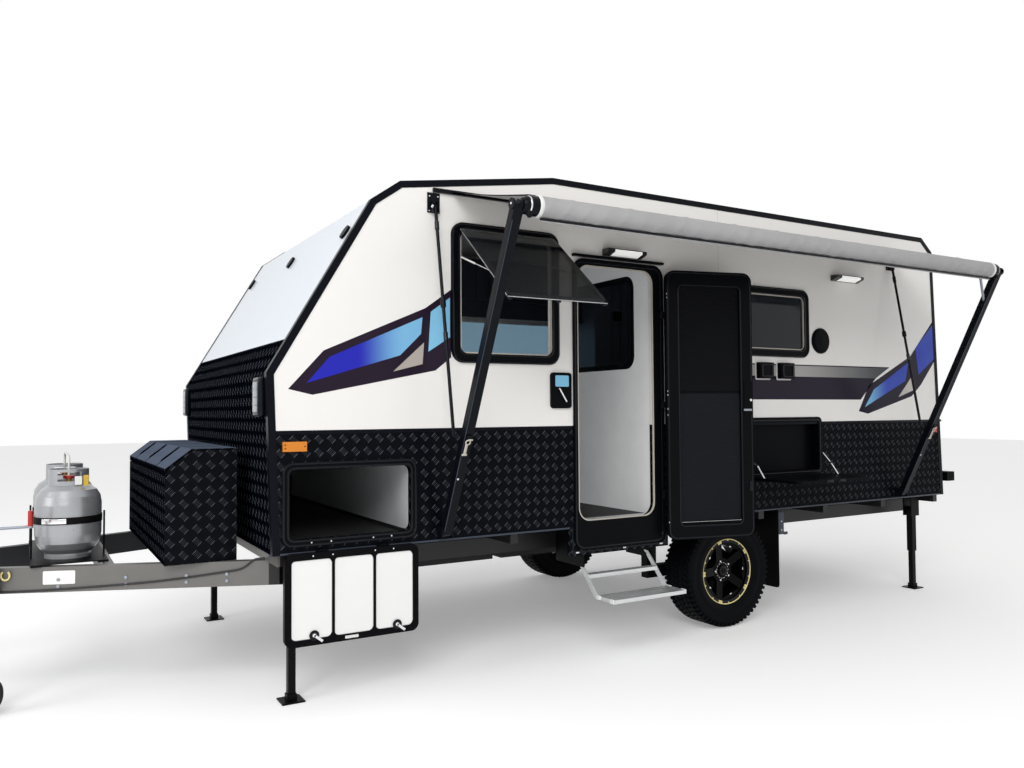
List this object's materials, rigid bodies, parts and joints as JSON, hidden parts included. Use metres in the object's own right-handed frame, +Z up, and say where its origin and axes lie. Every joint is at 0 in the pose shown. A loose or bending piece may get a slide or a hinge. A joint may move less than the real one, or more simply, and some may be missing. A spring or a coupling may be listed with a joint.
{
  "type": "travel caravan",
  "caption": "Single-axle travel caravan with a tunnel boot, entry door, side awning, drawbar toolbox, gas bottles, folding step and drop legs.",
  "frame": {"origin": "centre of the mouth of the coupling's downward pin bore, 585 mm above the ground", "axes": "+X runs rearwards along the caravan, +Y to its offside, +Z up; the door side is -Y"},
  "size_m": [7.8853, 3.1901, 3.036],
  "materials": {
    "chassis_black": "satin black chassis paint",
    "galvanised": "galvanised and grey-painted steel",
    "white_panel": "gloss white composite panel with black tread plate below",
    "roof_white": "white roof sheet",
    "tread_plate": "black powder-coated tread plate",
    "trim_black": "black anodised moulding",
    "floor_board": "dark grey vinyl on board",
    "frame_plastic": "black moulded frame",
    "door_black": "black door frame with dark screen",
    "tinted": "tinted acrylic",
    "boot_panel": "white panel in a black frame",
    "liner": "pale grey lining",
    "table_metal": "black folded sheet",
    "awning_metal": "black arms",
    "awning_cloth": "coated awning fabric",
    "bottle_grey": "silver-grey bottle paint",
    "tray_black": "black tray",
    "hose_black": "black cable sheath and pale gas hose",
    "jockey_zinc": "zinc-plated tube",
    "jockey_rubber": "solid rubber tyre",
    "leg_black": "black leg",
    "tyre": "black tyre",
    "rim_alloy": "gloss black alloy with a gold machined lip",
    "axle_black": "black axle paint",
    "step_aluminium": "ribbed aluminium",
    "flap_rubber": "black mud flap",
    "lamp_lens": "lamp",
    "amber": "amber lens",
    "vent_white": "white moulding",
    "tank_grey": "dark polythene tank",
    "partition_white": "white laminate",
    "cabinet_dark": "dark laminate"
  },
  "bodies": {
    "caravan": {"chassis": "galvanised", "coupling": "chassis_black", "side_wall_near": "white_panel", "side_skirt_near": "tread_plate", "side_wall_far": "white_panel", "front_lower": "tread_plate", "front_slope": "white_panel", "roof": "roof_white", "rear_wall": "white_panel", "edge_trims": "trim_black", "floor": "floor_board", "door_frame": "frame_plastic", "window_frames": "frame_plastic", "window_panes": "tinted", "window_sash": "tinted", "boot_frames": "frame_plastic", "boot_liner": "liner", "table_housing": "table_metal", "awning_brackets": "awning_metal", "awning_fabric": "awning_cloth", "toolbox": "tread_plate", "gas_bottles": "bottle_grey", "bottle_collars": "bottle_grey", "bottle_tray": "tray_black", "hoses": "hose_black", "jockey_tube": "jockey_zinc", "leg_brackets": "leg_black", "suspension_near": "axle_black", "suspension_far": "axle_black", "mud_flaps": "flap_rubber", "step_bracket": "leg_black", "rear_bar": "chassis_black", "spare_tyre": "tyre", "spare_rim": "rim_alloy", "wall_fittings": "frame_plastic", "awning_lamps": "lamp_lens", "marker_lamps": "amber", "roof_hatch": "vent_white", "air_conditioner": "vent_white", "water_tanks": "tank_grey", "partition": "partition_white", "cabin_furniture": "cabinet_dark"},
    "entry_door": {"door_leaf": "door_black"},
    "boot_door_near": {"boot_leaf_near": "boot_panel"},
    "boot_door_far": {"boot_leaf_far": "boot_panel"},
    "picnic_table": {"table_leaf": "table_metal"},
    "box_lid": {"toolbox_lid": "tread_plate"},
    "awning": {"awning_arms": "awning_metal"},
    "rafters": {"awning_rafters": "awning_metal"},
    "fold_step": {"step_frame": "step_aluminium"},
    "corner_leg_front_near": {"leg_front_near": "leg_black"},
    "corner_leg_front_far": {"leg_front_far": "leg_black"},
    "corner_leg_rear_near": {"leg_rear_near": "leg_black"},
    "corner_leg_rear_far": {"leg_rear_far": "leg_black"},
    "jockey_castor": {"jockey_fork": "jockey_zinc"},
    "jockey_roller": {"jockey_wheel": "jockey_rubber"},
    "wheel_near": {"tyre_near": "tyre", "rim_near": "rim_alloy"},
    "wheel_far": {"tyre_far": "tyre", "rim_far": "rim_alloy"}
  },
  "joints": [
    {"name": "near_wheel_spin", "type": "hinge", "parent": "caravan", "child": "wheel_near", "pos_m": [5.125, -0.9875, -0.217], "axis": [0, 1, 0], "continuous": true},
    {"name": "far_wheel_spin", "type": "hinge", "parent": "caravan", "child": "wheel_far", "pos_m": [5.125, 0.9875, -0.217], "axis": [0, 1, 0], "continuous": true},
    {"name": "door_swing", "type": "hinge", "parent": "caravan", "child": "entry_door", "pos_m": [4.4875, -1.1963, 0.8], "axis": [0, 0, 1], "range_deg": [-165, 10.5]},
    {"name": "near_boot_swing", "type": "hinge", "parent": "caravan", "child": "boot_door_near", "pos_m": [2.473, -1.17, 0.187], "axis": [1, 0, 0], "range_deg": [-180, 0]},
    {"name": "far_boot_swing", "type": "hinge", "parent": "caravan", "child": "boot_door_far", "pos_m": [2.473, 1.17, 0.187], "axis": [1, 0, 0], "range_deg": [-180, 0]},
    {"name": "table_fold", "type": "hinge", "parent": "caravan", "child": "picnic_table", "pos_m": [5.65, -1.17, 0.4], "axis": [1, 0, 0], "range_deg": [-90, 0]},
    {"name": "lid_lift", "type": "hinge", "parent": "caravan", "child": "box_lid", "pos_m": [1.994, 0, 0.674], "axis": [0, 1, 0], "range_deg": [0, 80]},
    {"name": "awning_fold", "type": "hinge", "parent": "caravan", "child": "awning", "pos_m": [4.93, -1.19, 0.227], "axis": [1, 0, 0], "range_deg": [-24, 0], "deforming": ["awning_fabric"]},
    {"name": "rafter_fold", "type": "hinge", "parent": "caravan", "child": "rafters", "pos_m": [4.93, -1.174, 1.975], "axis": [1, 0, 0], "range_deg": [0, 9]},
    {"name": "step_fold", "type": "hinge", "parent": "caravan", "child": "fold_step", "pos_m": [4.205, -1.04, -0.04], "axis": [1, 0, 0], "range_deg": [0, 135]},
    {"name": "front_near_leg_fold", "type": "hinge", "parent": "caravan", "child": "corner_leg_front_near", "pos_m": [2.21, -0.979, 0.05], "axis": [0, 1, 0], "range_deg": [-90, 0]},
    {"name": "front_far_leg_fold", "type": "hinge", "parent": "caravan", "child": "corner_leg_front_far", "pos_m": [2.21, 0.979, 0.05], "axis": [0, 1, 0], "range_deg": [-90, 0]},
    {"name": "rear_near_leg_fold", "type": "hinge", "parent": "caravan", "child": "corner_leg_rear_near", "pos_m": [7.29, -0.979, 0.05], "axis": [0, 1, 0], "range_deg": [0, 90]},
    {"name": "rear_far_leg_fold", "type": "hinge", "parent": "caravan", "child": "corner_leg_rear_far", "pos_m": [7.29, 0.979, 0.05], "axis": [0, 1, 0], "range_deg": [0, 90]},
    {"name": "jockey_swivel", "type": "hinge", "parent": "caravan", "child": "jockey_castor", "pos_m": [0.905, -0.43, -0.3], "axis": [0, 0, 1], "continuous": true},
    {"name": "jockey_spin", "type": "hinge", "parent": "jockey_castor", "child": "jockey_roller", "pos_m": [0.86, -0.43, -0.485], "axis": [0, 1, 0], "continuous": true}
  ],
  "couplings": [
    {"joint": "rafter_fold", "follows": "awning_fold", "ratio": -0.36}
  ]
}
